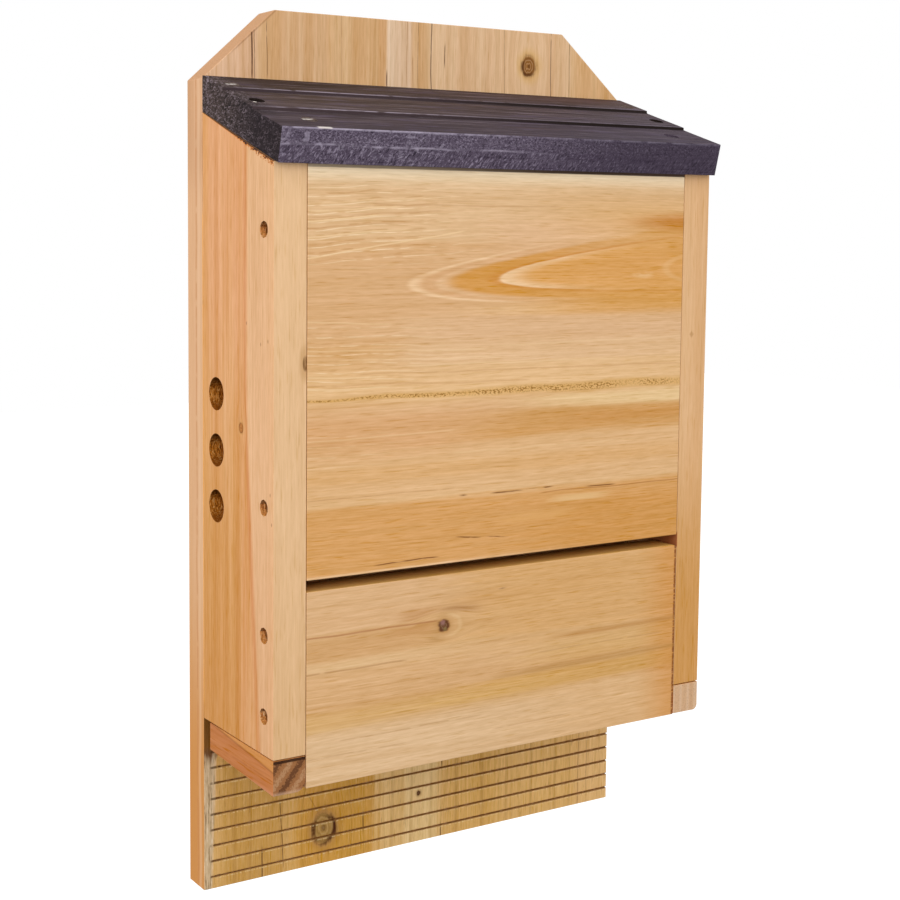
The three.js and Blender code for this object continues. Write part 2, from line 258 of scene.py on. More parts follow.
class Timber:
    """The material of one board, whose grain runs on round its edges and shows as rings on its ends.
    Places on it are millimetres from the board's lowest corner: along the grain, across and through."""

    def __init__(self, node, ways, seed, knots=(), wander=6.0):
        self.node = node
        self.material = bpy.data.materials.new(node + "_wood")
        self.material.use_nodes = True
        self.nodes = self.material.node_tree.nodes
        self.seed = seed
        texture = self.nodes.new("ShaderNodeTexCoord")
        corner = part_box(node)[0]
        place = self.parts(texture.outputs["Object"])
        facing = self.parts(texture.outputs["Normal"])
        from_corner = [(value - start) / mm for value, start in zip(place, corner)]
        order = ["xyz".index(way) for way in ways]
        self.along, self.across, self.through = (from_corner[i] for i in order)
        self.end_face, self.edge_face, self.flat_face = (abs(facing[i]).rise(0.5, 0.9) for i in order)
        self.straight = self.across
        drift = self.noise(200, 50, 60, detail=1) - 0.5
        self.across = self.across + drift * wander
        for knot in knots:
            self.part_round(*knot)
        self.floor_face = facing[order[0]].rise(0.3, 0.9)
        self.ceiling_face = facing[order[0]].rise(-0.1, -0.8)
        self.fine = self.noise(13, 1.1, 1.1, detail=2, roughness=0.6, shift=1)
        self.hair = self.noise(70, 1.1, 1.1, detail=2, roughness=0.7, shift=5)
        self.streak = self.noise(160, 3.6, 3.6, detail=2, roughness=0.6, shift=2)
        self.broad = self.noise(600, 12, 12, detail=1, shift=3)
        self.kink = self.noise(35, 30, 500, detail=1, shift=6) - 0.5
        self.gaps = self.noise(9, 3, 500, detail=1, shift=8)
        self.dull = 0

    def parts(self, socket):
        node = self.nodes.new("ShaderNodeSeparateXYZ")
        feed(node.inputs[0], socket)
        return [Field(output) for output in node.outputs]

    def noise(self, along, across, through, detail=2, roughness=0.5, shift=0, slant=0.0, swirl=0.0):
        """Soft noise in patches of these lengths in millimetres, which may lean by a slant or swirl."""
        place = self.nodes.new("ShaderNodeCombineXYZ")
        run = self.along - self.through * slant if slant else self.along
        feed(place.inputs["X"], run / along + (self.seed * 7.3 + shift * 19.1))
        feed(place.inputs["Y"], self.across / across + self.seed * 3.7)
        feed(place.inputs["Z"], self.through / through)
        node = self.nodes.new("ShaderNodeTexNoise")
        feed(node.inputs["Vector"], place.outputs[0])
        node.inputs["Scale"].default_value = 1
        node.inputs["Detail"].default_value = detail
        node.inputs["Roughness"].default_value = roughness
        node.inputs["Distortion"].default_value = swirl
        return Field(node.outputs["Fac"])

    def part_round(self, along, across, radius):
        """Parts the grain round a knot."""
        off_along = (self.along - along) / (radius * 4.5)
        off_across = (self.across - across) / (radius * 2.1)
        near = (off_along.squared() + off_across.squared()).rise(2.5, 0)
        self.across = (self.across - across) * (1 - near * 0.55) + across

    def colour_with(self, pale, body, deep, dark):
        """The wood's own colours, with broad bands and streaks."""
        self.pale, self.body, self.deep, self.dark = (rgb(code) for code in (pale, body, deep, dark))
        self.colour = self.body
        self.paint(self.pale, self.broad.rise(0.45, 0.7) * 0.6)
        self.paint(self.deep, self.broad.rise(0.5, 0.3) * 0.45)
        self.paint(self.pale, self.streak.rise(0.5, 0.8) * 0.55)
        self.paint(self.deep, self.streak.rise(0.5, 0.2) * 0.5)
        self.height = self.fine * 0.12 + self.streak * 0.08

    def rings(self, pith, ring, taper, strength):
        """Growth rings round a pith, each from pale early wood to a sharp line of dark late wood."""
        off_across = self.across - pith[0]
        off_through = self.through - pith[1]
        radius = (off_across.squared() + off_through.squared()).root() - self.along * taper
        uneven = self.noise(900, 11, 11, detail=1, shift=9) - 0.5
        count = radius / ring + uneven * 2.4
        phase = count.rest()
        late = phase.rise(0.35, 0.9) * phase.rise(1, 0.93)
        tint = self.nodes.new("ShaderNodeTexWhiteNoise")
        tint.noise_dimensions = "1D"
        feed(tint.inputs["W"], count.whole() + self.seed)
        own = Field(tint.outputs["Value"])
        self.paint(self.deep, late * (own * 0.8 + 0.2) * strength)

    def paint(self, colour, amount, blend="MIX"):
        """Lays a colour over what is there, as strongly as the field says."""
        node = self.nodes.new("ShaderNodeMix")
        node.data_type = "RGBA"
        node.blend_type = blend
        node.clamp_factor = True
        feed(node.inputs[0], amount)
        feed(node.inputs[6], self.colour)
        feed(node.inputs[7], rgb(colour) if isinstance(colour, str) else colour)
        self.colour = node.outputs[2]

    def coats(self, where, *rows):
        """Colours laid one over another in one place, each row with a colour and its strength."""
        for colour, amount in rows:
            self.paint(colour, where * amount)

    def zone(self, colour, strength, across=None, edge=2.5, along=None, fade=20, mask=None):
        """A stretch of other colour, whose ends fade and whose sides fray along the grain."""
        amount = self.streak * (0.9 * strength) + 0.55 * strength
        if along:
            amount = amount * (self.along + (self.streak - 0.5) * fade * 2).within(*along, fade)
        if across:
            amount = amount * (self.across + (self.streak - 0.5) * edge * 3).within(*across, edge)
        if mask:
            amount = amount * mask
        self.paint(colour, amount)

    def zones(self, *rows, mask=None):
        """Zones one over another, each row with a zone's values in their order."""
        for row in rows:
            self.zone(*row, mask=mask)

    def line(self, along, across, width=0.5, strength=0.85, slope=0.0, broken=0.35, colour=None):
        """A thin streak or drying crack that follows the grain."""
        middle = sum(along) / 2
        off = self.straight - (self.along - middle) * slope - across + self.kink * 2.2
        gaps = self.gaps.rise(broken - 0.12, broken + 0.1)
        amount = abs(off).rise(width * 0.75, width * 0.2) * self.along.within(*along, 3) * gaps
        self.paint(colour or self.dark, amount * self.end_face.rise(0.3, 0) * strength)

    def lines(self, *rows):
        """Several lines, each row with a line's values in their order."""
        for row in rows:
            self.line(*row)

    def distance(self, along, across, stretch=1.0):
        """How far off an axis that runs straight through the board."""
        off_along = (self.along - along) / stretch
        off_across = self.straight - across
        return (off_along.squared() + off_across.squared()).root()

    def knot(self, along, across, radius, heart="7A4E22", halo="C79A5C", rim=0.7, ringed=0.25):
        """A branch's stump: a ragged dark rim, finer rings inside it and a stained halo around."""
        off = self.distance(along, across, stretch=1.15) + self.kink * radius * 0.9
        off = off + (self.fine - 0.5) * radius * 0.7
        self.paint(halo, off.rise(radius * 2.2, radius * 0.9) * 0.5)
        self.paint(self.deep, off.rise(radius * 1.5, radius) * 0.5)
        self.paint(heart, off.rise(radius * 1.05, radius * 0.8) * 0.95)
        rings = (off / radius * 19 + self.kink * 3).wave()
        inner = off.rise(radius * 0.85, radius * 0.7)
        self.paint(self.dark, inner * rings.rise(0.2, 1.2) * ringed)
        self.paint(self.pale, inner * rings.rise(-0.3, -1.3) * ringed * 0.6)
        patchy = self.noise(radius, radius, 500, detail=2, shift=23).rise(0.38, 0.58) * 0.75 + 0.25
        bark = abs(off - radius * 0.88).rise(radius * 0.4, 0) * patchy
        self.paint(self.dark, bark * rim)
        core = self.distance(along, across, stretch=1.2) + self.kink * radius * 0.35
        self.paint(self.dark, core.rise(radius * 0.22, radius * 0.08) * 0.5)
        self.height = self.height - abs(off - radius).rise(radius * 0.14, 0) * 0.25

    def bore(self, holes, radius, wall, shade, light, ceiling_shade, floor):
        """The torn fibres in drilled holes of one radius, each given by its distance field, with
        painted shade in the colours given for their ceilings and floors.
        """
        inside = None
        for off in holes:
            margin = off - radius
            inside = inside.least(margin) if inside else margin
        inside = inside.rise(0.6, 0.2) * (1 - self.flat_face)
        torn = self.noise(4.5, 0.8, 0.8, detail=3, roughness=0.8, shift=13, swirl=0.6)
        self.dull = inside.most(self.dull)
        self.paint(wall, inside * 0.95)
        self.paint(shade, inside * torn.rise(0.49, 0.4) * 0.855)
        self.paint(light, inside * torn.rise(0.53, 0.6) * 0.8075)
        # Painted shade on the faces that look down and on those that look up.
        self.paint(ceiling_shade, inside * self.ceiling_face * 0.8)
        self.paint(floor, inside * self.floor_face * 0.7)
        self.height = self.height + inside * torn * 1.2
        return inside

    def grain(self, fine=0.3, hair=0.24, streak=0.22, pores=0.25):
        """Fine fibres over everything painted so far, lighter and darker by these shares."""
        tone = (self.fine - 0.5) * fine + (self.hair - 0.5) * hair + (self.streak - 0.5) * streak
        tone = tone * (1 - self.edge_face * 0.3)
        stroke = self.noise(16, 0.8, 0.8, detail=1, shift=7).rise(0.58, 0.74)
        self.height = self.height - stroke * 0.05
        node = self.nodes.new("ShaderNodeHueSaturation")
        feed(node.inputs["Value"], tone - stroke * 0.12 * pores / 0.3 + 1.02)
        feed(node.inputs["Saturation"], stroke * 0.1 - tone * 0.5 + 1)
        feed(node.inputs["Color"], self.colour)
        self.colour = node.outputs["Color"]

    def finish(self, end_colour="B98A5A", roughness=0.72, specular=0.12, end_strength=0.6):
        """Joins the colour, sheen and relief to the shader."""
        speckle = self.noise(5, 0.7, 0.7, detail=2, roughness=0.7, shift=15)
        ends = self.end_face * (1 - self.dull)
        self.paint(end_colour, ends * end_strength)
        self.paint(self.dark, ends * speckle.rise(0.52, 0.7) * 0.35)
        relief = self.height + ends * speckle * 0.2
        node = self.nodes.new("ShaderNodeBump")
        node.inputs["Strength"].default_value = relief_strength
        node.inputs["Distance"].default_value = mm
        feed(node.inputs["Height"], relief)
        shader = self.nodes["Principled BSDF"]
        feed(shader.inputs["Base Color"], self.colour)
        feed(shader.inputs["Roughness"], self.fine * 0.16 + (roughness - 0.08))
        feed(shader.inputs["Normal"], node.outputs["Normal"])
        feed(shader.inputs["Specular IOR Level"], (1 - self.dull) * specular)
        return self.material


rim_reach = 3
round_radius = 3
arris_steps = 2
rounding_steps = 5


def dress(timber, slot, ease=0.45, sharp=40, rounded=None, **look):
    """Stands a planed copy of a board in its place, with its outer arrises eased by hand.
    The rims of drilled holes, whose edges are short, stay sharp. The look goes to the timber."""
    node = timber.node
    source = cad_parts[node]
    form = bmesh.new()
    form.from_mesh(source.data)
    bmesh.ops.remove_doubles(form, verts=form.verts, dist=0.002 * mm)
    flat = {"verts": form.verts, "edges": form.edges, "use_dissolve_boundaries": False}
    bmesh.ops.dissolve_limit(form, angle_limit=math.radians(1), **flat)
    if rounded:
        corner = [edge for edge in form.edges if rounded(edge)]
        size = {"offset": round_radius * mm, "segments": rounding_steps, "profile": 0.5}
        bmesh.ops.bevel(form, geom=corner, affect="EDGES", clamp_overlap=True, **size)
    arrises = [
        edge
        for edge in form.edges
        if edge.is_manifold
        and edge.is_convex
        and edge.calc_face_angle() > math.radians(sharp)
        and edge.calc_length() > rim_reach * mm
    ]
    size = {"offset": ease * mm, "segments": arris_steps, "profile": 0.5}
    bmesh.ops.bevel(form, geom=arrises, affect="EDGES", clamp_overlap=False, **size)
    mesh = bpy.data.meshes.new(node + "_planed")
    form.to_mesh(mesh)
    form.free()
    mesh.materials.append(timber.finish(**look))
    piece = stand(node + "_planed", mesh)
    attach(piece, "root")
    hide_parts(node)


kerf_first = 7
kerf_pitch = 9
kerf_depth = 1.5
kerfed_rise = 404
corner_cut_foot = 451.5
corner_cut_width = 44
corner_cut_height = 39.5
board_knots = {"upper": (470.2, 218.3, 5.4), "landing": (21.4, 77, 7.2)}

board = Timber("backboard", "zxy", seed=1, knots=board_knots.values())
board.colour_with(pale="E4C59E", body="D7AC81", deep="C6965F", dark="4A2004")
board.rings(pith=(150, 62), ring=4.2, taper=0.012, strength=0.3)
above = board.along.rise(120, 440)
board.zones(
    ("E3B998", 0.6, (0, 34), 4),
    ("CE9F6A", 0.45, (34, 46), 3),
    ("D0A168", 0.4, (78, 112), 5),
    ("CA9255", 0.45, (110, 116), 1.5),
    ("E8CBAE", 0.65, (117, 133), 1.5),
    ("CFA26C", 0.35, (134, 148), 2),
    ("DEB890", 0.5, (148, 200), 5),
    ("E0B88E", 0.6, (195, 250), 8),
    ("DAAB72", 0.45, (251, 300), 4),
    ("8F5E38", 0.7, (-2, 1.2), 0.4, (400, 500)),
    mask=above,
)
corner_slope = corner_cut_height / corner_cut_width
corner_line = board.along - corner_cut_foot - board.straight * corner_slope
cut_arris = abs(corner_line + 0.8).rise(1.2, 0.2) * board.through.rise(1, 0.3)
board.paint("9A6A45", cut_arris * board.along.rise(462, 472) * 0.5)
front = board.through.rise(0.6, 0.2) * board.edge_face.rise(0.6, 0.2)
landing = front * board.along.rise(384, 374)
board.zones(
    ("DCAD66", 0.8),
    ("D9AC68", 0.4, (-5, 60), 8),
    ("B88634", 0.55, (10, 52), 8),
    ("CC9334", 0.7, (58, 113), 7),
    ("C8943C", 0.45, (80, 106), 4),
    ("E8C386", 0.6, (114, 158), 6),
    ("E9CC96", 0.4, (134, 158), 3),
    ("D5A556", 0.5, (160, 205), 6),
    ("E1B46E", 0.5, (206, 262), 8),
    ("E5B97E", 0.5, (264, 300), 5),
    mask=landing,
)
dark_streaks = (
    (19, 1.6), (29, 1.2), (49, 1), (66, 1.2), (92, 1.2), (125, 1.4), (139, 1.2),
    (153, 0.9), (171, 1.6), (190, 2.2), (209, 1), (228, 1.4), (246, 1.2), (258, 1),
)
for place, width in dark_streaks:
    board.zone("A87830", 0.35, (place - width * 0.7, place + width * 0.7), 0.8, mask=landing)
torn_edge = board.straight + (board.gaps - 0.5) * 3 - board.along * 0.035
rough = board.noise(14, 1.1, 1.1, detail=3, roughness=0.75, shift=21)
torn = torn_edge.rise(5.4, 3.4) * landing
board.paint("CDB594", torn * 0.8)
board.paint("7E6444", torn * rough.rise(0.5, 0.36) * 0.7)
board.paint("EFE2CE", torn * rough.rise(0.55, 0.68) * 0.6)
# A ragged dark patch at the board's left edge, level with the left rail, is painted shade for the gap
# behind the rail's rear end.
rail_gap_shade = board.distance(90, 3, stretch=2.6) + (board.fine - 0.5) * 4 + (board.gaps - 0.5) * 4
board.coats(
    landing,
    # Painted light: a bright orange strip along the front face's left edge, from 84 mm up, lifts the
    # shade that the box casts there.
    ("FFBC50", torn_edge.rise(9, 6) * board.along.rise(78, 84) * 0.95),
    ("E0C29C", abs(torn_edge - 4.8).rise(0.9, 0.2) * board.gaps.rise(0.4, 0.55) * 0.6),
    ("EED4A0", rough.rise(0.56, 0.74) * 0.4),
    ("80561E", rough.rise(0.44, 0.3) * 0.4),
    # Painted shade behind the left rail's rear end.
    ("643812", rail_gap_shade.rise(7.5, 4.5) * 0.9),
)
board.grain()
board.lines(
    ((453, 480), 30.3, 1.0),
    ((452, 482), 31.8, 0.5, 0.6),
    ((453, 484), 39.5, 0.5, 0.6),
    ((451, 492), 86.5, 0.5, 0.4, 0.0, 0.35, "9A6430"),
    ((451, 492), 130.5, 0.6, 0.5, 0.0, 0.35, "9A6430"),
    ((451, 470), 134.8, 0.5, 0.5, 0.0, 0.35, "8A5424"),
    ((452, 461), 116.8, 0.8, 0.85, 0.0, 0.1),
    ((440, 495), 138.3, 0.4, 0.45),
    ((440, 495), 147.6, 0.7, 0.8),
    ((467, 479), 157.2, 0.6),
    ((440, 495), 200, 0.4, 0.45),
    ((440, 495), 235, 0.6, 0.7),
    ((440, 488), 249.5, 0.5, 0.6),
    ((-2, 17), 36.6, 0.7, 0.85, 0.0, 0.1),
    ((4, 44), 49, 0.6, 0.7, -0.05),
    ((15, 25), 104, 0.7, 0.85, 0.0, 0.1),
    ((44, 52), 160, 0.7, 0.85, 0.0, 0.1),
    ((-2, 8), 159.4, 0.7, 0.85, 0.0, 0.1),
    ((-5, 100), 266, 0.8, 0.5, 0.0, 0.35, "946030"),
    ((-5, 100), 273, 0.6, 0.45, 0.0, 0.35, "946030"),
    ((22, 44), 72, 0.8, 0.45, -0.55, 0.35, "94602A"),
)
board.knot(*board_knots["upper"], heart="96622A", halo="D9A850", rim=0.85, ringed=0.5)
board.knot(*board_knots["landing"], heart="B08848", halo="A06C1E", rim=1, ringed=0.3)
board.knot(30, 143.2, 1.3, heart="5A3A1E", halo="9A7440")

kerf_side = (((board.along - kerf_first) / kerf_pitch + 0.5).rest() - 0.5) * kerf_pitch
kerf_off = abs(kerf_side)
lit_lip = kerf_side.within(-1.5, -0.8, 0.2) * landing * board.straight.rise(5, 9)
board.paint("F0D6A0", lit_lip * rough.rise(0.42, 0.58) * 0.55)
lip = (kerf_off + (board.gaps - 0.5) * 1.4).rise(1.2, 0.5) * front
lip = lip * board.along.rise(kerfed_rise, kerfed_rise - 1) * board.straight.rise(3, 9)
board.paint("80552A", lip * 0.35)
# Painted shade of the kerfs, carried on towards the left edge where the modelled kerfs stop short.
kerf_end_shade = kerf_off.rise(0.9, 0.4) * board.straight.within(4, 10, 1) * board.along.rise(400, 399)
board.paint("4A2E10", kerf_end_shade * front * board.gaps.rise(0.3, 0.45) * 0.75)
# The kerfs' insides are painted a darker brown: painted shade on top of the grooves' own shade.
in_kerf = board.through.within(0.3, kerf_depth + 0.3, 0.2) * board.edge_face.rise(0.6, 0.2)
in_kerf = in_kerf * board.along.within(1.5, kerfed_rise, 0.5)
board.paint("8A581A", in_kerf * (board.gaps.rise(0.3, 0.55) * 0.5 + 0.45))
saw_line = abs(board.through - 8 + board.kink * 2).rise(1.1, 0.3) * board.gaps.rise(0.3, 0.5)
board.coats(
    board.edge_face,
    ("E8B488", 0.6),
    ("CE8632", board.along.rise(200, 60) * 0.78),
    ("C68450", saw_line * 0.55),
    ("F0C8A2", abs(board.through - 4.8 + board.kink * 3).rise(2.2, 0.6) * 0.35),
)
cut_corner = (board.edge_face * board.end_face).rise(0.05, 0.15)
board.paint("CB9A78", cut_corner * 0.9)
dress(board, "bare_wood", end_colour="C99862")

# The two side panels are planed boards with upright grain, cut to the roof's slope.
# They are screwed on from behind. Each has three drilled vents near the backboard,
# and counterbored screws along its front edge.
vent_radius = 9
vent_pitch = 30.5
vent_rise = 152.5
vent_from_front = 66
# The vents' and the counterbores' colours: wall, darker and paler fibres, then the painted shade on the
# ceiling and on the floor.
vent_walls = ("D27E24", "64300A", "F2BE76", "3C1804", "8A4610")
counterbore_radius = 4.4
counterbore_walls = ("F8AC60", "A45C2A", "FFE0B0", "54280A", "E8A050")
side_screw_count = 4
side_screw_from_front = 10.5
roof_slope = math.tan(math.radians(19))


def middle_of(node, corner):
    """The middle of a piece, in millimetres from a board's lowest corner."""
    low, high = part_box(node)
    return ((low + high) / 2 - corner) / mm


def panel_holes(panel, side):
    """The vents and the counterbores of a side panel's screws."""
    low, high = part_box(panel.node)
    depth = panel.through if side == "left" else (high.x - low.x) / mm - panel.through
    rises = [vent_rise + step * vent_pitch for step in (-1, 0, 1)]
    vents = [panel.distance(rise, vent_from_front) for rise in rises]
    inside = panel.bore(vents, vent_radius, *vent_walls)
    # Painted shade: the vents darken deeper in.
    panel.paint("8C3A14", inside * depth.rise(5, 9.5) * 0.55)
    screws = [f"side_screw_{side}_{i + 1}" for i in range(side_screw_count)]
    heads = [panel.distance(middle_of(screw, low).z, side_screw_from_front) for screw in screws]
    inside = panel.bore(heads, counterbore_radius, *counterbore_walls)
    # Painted shade: the counterbores darken at their bottoms, round the screw heads.
    panel.paint("6E360A", inside * depth.rise(2.8, 3.6) * 0.6)


def roof_stain_and_shade(panel):
    """Specks of the roof's dark staining that ran on to the panel's top edge, over a thin line of
    painted shade right under the roof.
    """
    low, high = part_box(panel.node)
    top = (high.z - low.z) / mm - ((high.y - low.y) / mm - panel.straight) * roof_slope
    below = top - panel.along
    speck = panel.noise(1.5, 2.6, 1.5, detail=2, roughness=0.6, shift=51)
    thread = panel.straight.rise(85, 45) * panel.flat_face
    reach = panel.straight.rise(52, 16) * panel.flat_face
    soaked = below - speck.rise(0.4, 0.58) * reach * 2 - 0.7 * thread
    stain_and_shade = below - speck.rise(0.5, 0.58) * reach * 1.5 - 0.4 * thread
    panel.paint("C4701E", soaked.rise(0.6, -0.1) * 0.85)
    # Near black: specks of the roof's staining, and a thin line of painted shade where the panel meets
    # the roof.
    panel.paint("2E1C1C", stain_and_shade.rise(0.4, -0.1) * 0.95)


left = Timber("side_panel_left", "zyx", seed=2, knots=[(167.8, 36.3, 2.4)], wander=3)
left.colour_with(pale="EABD8C", body="DFA472", deep="CA8A4C", dark="5E2E0C")
left.rings(pith=(95, 48), ring=4.6, taper=0.008, strength=0.25)
seam = 29.7 - (170 - left.along).most(0) * 0.09
behind = left.across - seam
left.paint("DB9A5A", behind.rise(-2.5, 3) * (left.streak.rise(0.6, 0.3) * 0.5 + 0.2))
left.zones(
    ("CF9247", 0.6, (38, 90), 5, (-80, 150), 60),
    ("E3A678", 0.6, (30, 90), 6, (215, 400), 50),
    ("DDA05A", 0.5, (76, 90), 3, (120, 400), 30),
    ("BF7C38", 0.25, (38, 44), 1.5, (-80, 110), 40),
    ("BF7C38", 0.22, (52.2, 55.8), 1.5, (-80, 150), 40),
    ("BF7C38", 0.2, (64.8, 67.2), 1.5, (-80, 400), 40),
    ("BF7C38", 0.2, (69.4, 72.6), 1.5, (-80, 60), 40),
    ("EBB481", 0.25, (46, 50), 1.2, (-80, 400)),
    ("EBB481", 0.25, (58.4, 61.6), 1.2, (-80, 400)),
    ("EBB481", 0.25, (34.3, 36.7), 1.2, (-80, 400)),
)
left.paint("E6B88C", behind.rise(2.8, -2.8) * 0.8)
left.paint("E6B180", left.across.rise(9, 2) * 0.4)
seam_red = left.along.within(30, 320, 40) * left.broad.rise(0.35, 0.6) * 0.4 + 0.3
left.paint("CD7F46", abs(behind - 1.8).rise(3.6, 0.2) * seam_red * 0.85)
left.paint("F0BC88", abs(behind + 0.8).rise(1.4, 0.2) * left.along.within(120, 400, 60) * 0.25)
front_edge = left.edge_face * left.across.rise(20, 5)
left.paint("E0BA8E", front_edge * 0.8)
left.paint("C89C66", front_edge * left.along.rise(150, -20) * 0.35)
left.paint("BE7A40", left.flat_face * left.along.rise(150, -20) * 0.17)
left.grain()
left.knot(167.8, 36.3, 2.2, heart="BC7838", halo="E2AC68", rim=0.45)
left.line((165, 171), 34.2, 0.7, 0.6, 0.0, 0.1, "9A5A1E")
left.line((166, 172), 38.4, 0.6, 0.5, 0.0, 0.1, "9A5A1E")
split_knot = ((left.along - 203.6) / 2.6).squared() + (left.through - 18.2).squared()
left.paint("BC8E58", split_knot.rise(22, 1) * left.edge_face * (left.fine * 0.6 + 0.25))
left.paint("6E4616", split_knot.rise(3.2, 1) * left.edge_face * left.fine.rise(0.25, 0.45) * 0.85)
for rise, place in ((223, 30), (213, 14), (215, 6), (122, 2), (137, 3.5)):
    left.paint("8A5226", left.distance(rise, place, stretch=2).rise(0.7, 0.2) * 0.6)
roof_stain_and_shade(left)
panel_holes(left, "left")
dress(left, "bare_wood", ease=0.35)

right = Timber("side_panel_right", "zyx", seed=3, wander=3)
right.colour_with(pale="E2BC8E", body="DAAC7A", deep="C79358", dark="5E2E0C")
right.rings(pith=(70, -30), ring=3.6, taper=0.01, strength=0.35)
front_edge = right.edge_face * right.across.rise(20, 5)
right.paint("DFB284", front_edge * 0.6)
right.paint("CA9048", front_edge * right.along.rise(170, 40) * 0.8)
right.grain()
pin_knot = right.distance(210.8, 0, stretch=1.3) + abs(right.through - 7.8)
right.paint("A8783C", pin_knot.rise(2.3, 0.8) * 0.5)
# Painted shade: the inner face beside the air slot is painted a dark orange.
slot_side_shade = right.through.rise(0.5, 0.1) * right.along.within(84, 93, 1)
right.paint("94481A", slot_side_shade * 0.85)
roof_stain_and_shade(right)
panel_holes(right, "right")
dress(right, "bare_wood", ease=0.35)

# The partition is a thinner board that splits the roost into two chambers.
# It slides up in grooves of the side panels, rests on the bottom rails, and has kerfs on both faces.
partition = Timber("partition_board", "xzy", seed=4)
partition.colour_with(pale="DDB98A", body="CDA271", deep="B5834C", dark="4E2F17")
partition.rings(pith=(120, 60), ring=4, taper=0.01, strength=0.4)
partition.grain()
dress(partition, "bare_wood", ease=0.3)

# Two front panels with level grain are set in between the side panels, with an air slot between.
# The upper one was sawn near the tree's bark side, so that its rings make a long flame at the right.
flame_axis = 151.5
flame_lean = 0.055
flame_pole = 211
flame_breadth = 0.02


def flame(panel):
    """The nested loops where the saw met the rings at a low angle, each named by its tip's place."""
    axis = (panel.along - 70).most(0) * flame_lean + flame_axis
    off = abs(panel.across - axis + (panel.streak - 0.5) * 1.5)
    off = off - off.rise(13, 26) * panel.along.rise(160, 245) * 3
    half = (panel.along - flame_pole) * 0.5
    return (panel.along + flame_pole) * 0.5 - (half.squared() + off.squared() / flame_breadth).root()


upper = Timber("front_panel_upper", "xzy", seed=5, wander=4)
upper.colour_with(pale="E6C08F", body="DAAE7C", deep="CC9556", dark="5C2E08")
upper.zones(
    ("DEB88C", 0.9, (172, 215), 6),
    ("D9AF7E", 0.8, (178, 215), 6, (150, 300), 40),
    ("D8AC7E", 0.85, (122, 172), 5, (-50, 115), 40),
    ("DFB48A", 0.7, (163, 186), 5, (110, 225), 30),
    ("DFB78B", 0.9, (100, 134), 5, (55, 300)),
    ("D9AE84", 0.5, (120, 134), 3, (70, 300), 40),
    ("E3BA88", 0.8, (91, 108), 3),
    ("E5C390", 0.85, (79, 88), 2, (140, 300), 40),
    ("DDB184", 0.6, (79, 88), 2, (-50, 140), 40),
    ("CF9A5C", 0.9, (66, 80), 3, (90, 300), 50),
    ("C98F4C", 0.6, (71, 77), 1.5, (170, 300), 30),
    ("D8A675", 0.85, (58, 84), 4, (-50, 100), 40),
    ("DEB382", 0.85, (37, 64), 5),
    ("D9A76C", 0.5, (48, 56), 2.5, (-50, 300)),
    ("D59E60", 0.95, (-10, 36), 2.2),
    ("CD9148", 0.6, (-10, 28), 4, (150, 300), 40),
)
loops = flame(upper)
haze = upper.across.within(134, 194, 9) * upper.along.rise(130, 240)
upper.paint("DEAA68", haze * 0.5)
upper.paint("D3A070", loops.rise(52, 68) * upper.along.rise(200, 120) * 0.4)
upper.paint("D0923F", loops.rise(80, 94) * (upper.along.rise(215, 130) * 0.5 + 0.35))
upper.paint("DBA25E", loops.rise(117, 122) * 0.9)
upper.paint("D69C58", loops.rise(140, 190) * 0.5)
sheen = upper.streak.rise(0.2, 0.55) * 0.6 + 0.4
outlines = ((57.5, 63, 71, 160, 0.75), (75, 80, 89, 115, 0.5), (116.5, 121, 145, 185, 0.9))
for start, crest, end, reach, strength in outlines:
    loop = loops.rise(start, crest) * loops.rise(end, crest)
    faded = upper.along.rise(reach + 25, reach - 70) * 0.85 + 0.15
    upper.paint("EFCBA0", loop * sheen * faded * strength)
upper.paint("C98436", loops.rise(108, 116) * loops.rise(121, 118) * 0.5)
pale_fleck = upper.distance(221, 155, stretch=3.6).rise(2.8, 1)
upper.paint("E6BA84", pale_fleck * upper.gaps.rise(0.3, 0.5) * 0.7)
arc = abs(upper.distance(264, 158.5, stretch=3.2) - 8)
upper.paint("E6BA84", arc.rise(1.4, 0.2) * 0.35)
glow = upper.distance(258, 184.8, stretch=8).rise(8, 1.5)
upper.paint("BE7824", glow * 0.85)
between = upper.across.within(166, 182, 5) * upper.along.rise(190, 250)
upper.paint("D29A55", between * 0.6)
low_arm = (upper.across + (upper.streak - 0.5) * 4).within(134, 147, 3)
upper.paint("D3984C", low_arm * upper.along.rise(115, 200) * 0.7)
fan_middle = 30
fans = ((-0.06, 4.2, 163, 204, 135, 1), (0.03, 4.6, 97, 132, 110, 0.7), (0.0, 5.2, 56, 76, 80, 0.35))
for slope, pitch, low_side, high_side, reach, strength in fans:
    rays = ((upper.straight + (upper.along - fan_middle) * slope) / pitch + upper.kink * 0.9).rest()
    fan = upper.along.rise(reach, reach * 0.2) * upper.across.within(low_side, high_side, 7) * strength
    upper.paint("F2D6AE", rays.within(0.1, 0.2, 0.07) * fan * upper.gaps.rise(0.35, 0.55))
    upper.paint("B98448", rays.within(0.42, 0.56, 0.12) * fan * upper.gaps.rise(0.6, 0.4) * 0.65)
upper.paint("C89456", upper.along.rise(110, -20) * 0.13)
